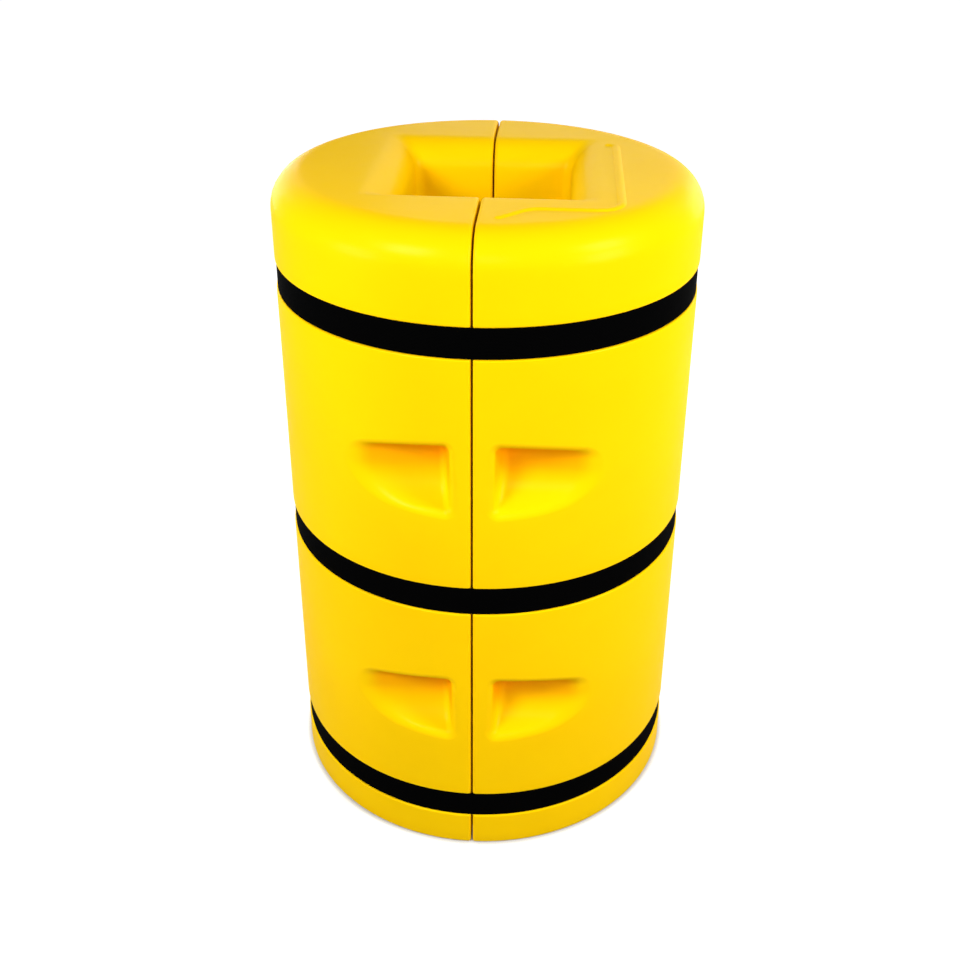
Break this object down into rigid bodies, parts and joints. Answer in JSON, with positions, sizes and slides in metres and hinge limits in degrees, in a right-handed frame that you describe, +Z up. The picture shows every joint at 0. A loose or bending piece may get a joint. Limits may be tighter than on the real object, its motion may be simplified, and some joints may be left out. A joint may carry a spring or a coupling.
{
  "type": "column protector",
  "caption": "Split hollow drum that closes round a square building column as an impact guard, with hand pockets and hook-and-loop straps lying in grooves.",
  "frame": {"origin": "middle of the base, on the axis of the column passage", "axes": "+Z up the column; the halves meet on the plane x = 0, with the front seam at -Y"},
  "size_m": [0.6604, 0.6632, 1.069],
  "materials": {
    "shell": "satin moulded",
    "webbing": "woven",
    "loop_pile": "napped",
    "hook_tape": "hooked"
  },
  "bodies": {
    "left_half": {"left_half_shell": "shell", "upper_strap_left_run": "webbing", "middle_strap_left_run": "webbing", "lower_strap_left_run": "webbing", "upper_loop_patch": "loop_pile", "middle_loop_patch": "loop_pile", "lower_loop_patch": "loop_pile"},
    "right_half": {"right_half_shell": "shell", "upper_strap_right_run": "webbing", "middle_strap_right_run": "webbing", "lower_strap_right_run": "webbing"},
    "upper_tail": {"upper_strap_tail": "webbing", "upper_hook_patch": "hook_tape"},
    "middle_tail": {"middle_strap_tail": "webbing", "middle_hook_patch": "hook_tape"},
    "lower_tail": {"lower_strap_tail": "webbing", "lower_hook_patch": "hook_tape"}
  },
  "joints": [
    {"name": "halves_hinge", "type": "hinge", "parent": "left_half", "child": "right_half", "pos_m": [0, -0.3282, 0.493], "axis": [0, 0, -1], "range_deg": [0, 70]},
    {"name": "upper_tail_peel", "type": "hinge", "parent": "right_half", "child": "upper_tail", "pos_m": [0, 0.3331, 0.914], "axis": [0, 0, -1], "range_deg": [0, 140]},
    {"name": "middle_tail_peel", "type": "hinge", "parent": "right_half", "child": "middle_tail", "pos_m": [0, 0.3331, 0.493], "axis": [0, 0, -1], "range_deg": [0, 140]},
    {"name": "lower_tail_peel", "type": "hinge", "parent": "right_half", "child": "lower_tail", "pos_m": [0, 0.3331, 0.0833], "axis": [0, 0, -1], "range_deg": [0, 140]}
  ],
  "couplings": [
    {"joint": "upper_tail_peel", "follows": "halves_hinge", "ratio": 2},
    {"joint": "middle_tail_peel", "follows": "halves_hinge", "ratio": 2},
    {"joint": "lower_tail_peel", "follows": "halves_hinge", "ratio": 2}
  ]
}
